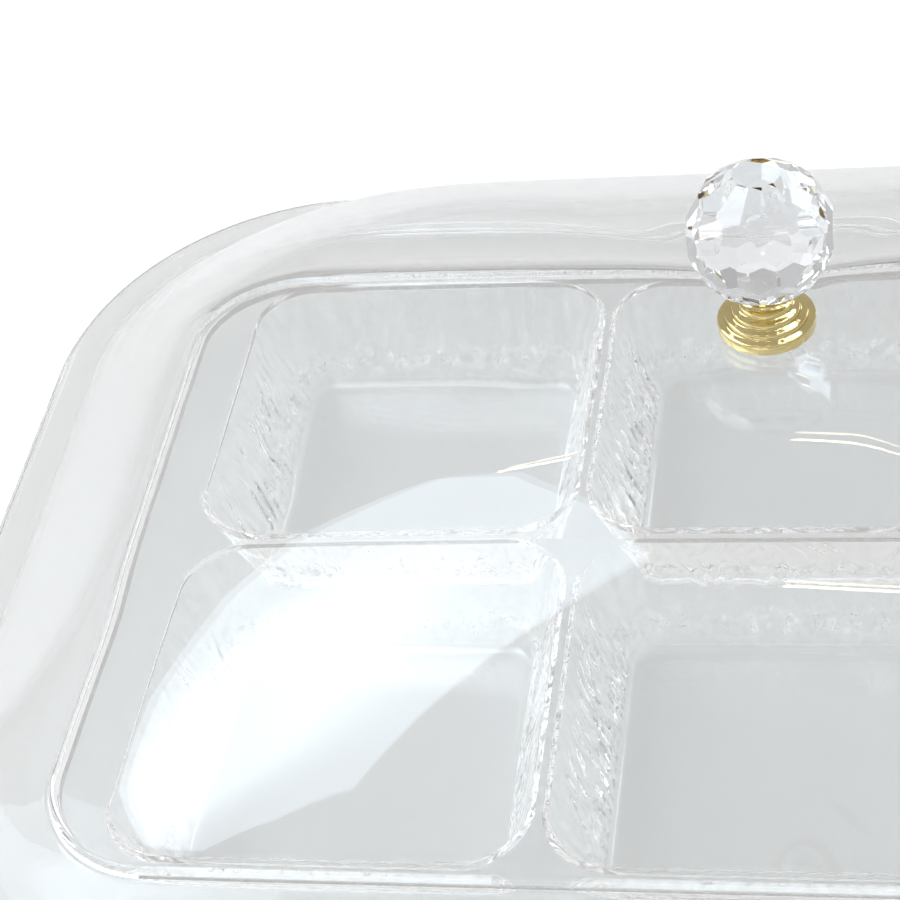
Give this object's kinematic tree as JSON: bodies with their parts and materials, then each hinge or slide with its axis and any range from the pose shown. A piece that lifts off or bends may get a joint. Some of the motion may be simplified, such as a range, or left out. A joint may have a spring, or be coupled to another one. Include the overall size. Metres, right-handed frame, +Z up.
{
  "type": "divided serving tray with lid",
  "caption": "Clear divided serving tray with square tapered wells, a domed lift-off lid and a faceted crystal knob on a stepped gold base.",
  "frame": {"origin": "middle of the tray on the surface it stands on", "axes": "+Z up, +X along the three columns of wells, +Y to the far side"},
  "size_m": [0.389, 0.2724, 0.1322],
  "materials": {
    "tray_clear": "clear polished",
    "lid_clear": "clear polished",
    "crystal": "cut and polished",
    "gold": "polished gold plate",
    "washer": "clear",
    "screw": "plain"
  },
  "bodies": {
    "tray": {"tray": "tray_clear"},
    "lid": {"lid": "lid_clear", "knob_ball": "crystal", "knob_base": "gold", "knob_washer": "washer", "knob_screw": "screw"}
  },
  "joints": [
    {"name": "lid_lift", "type": "slide", "parent": "tray", "child": "lid", "axis": [0, 0, 1], "range_m": [0, 0.12]}
  ]
}
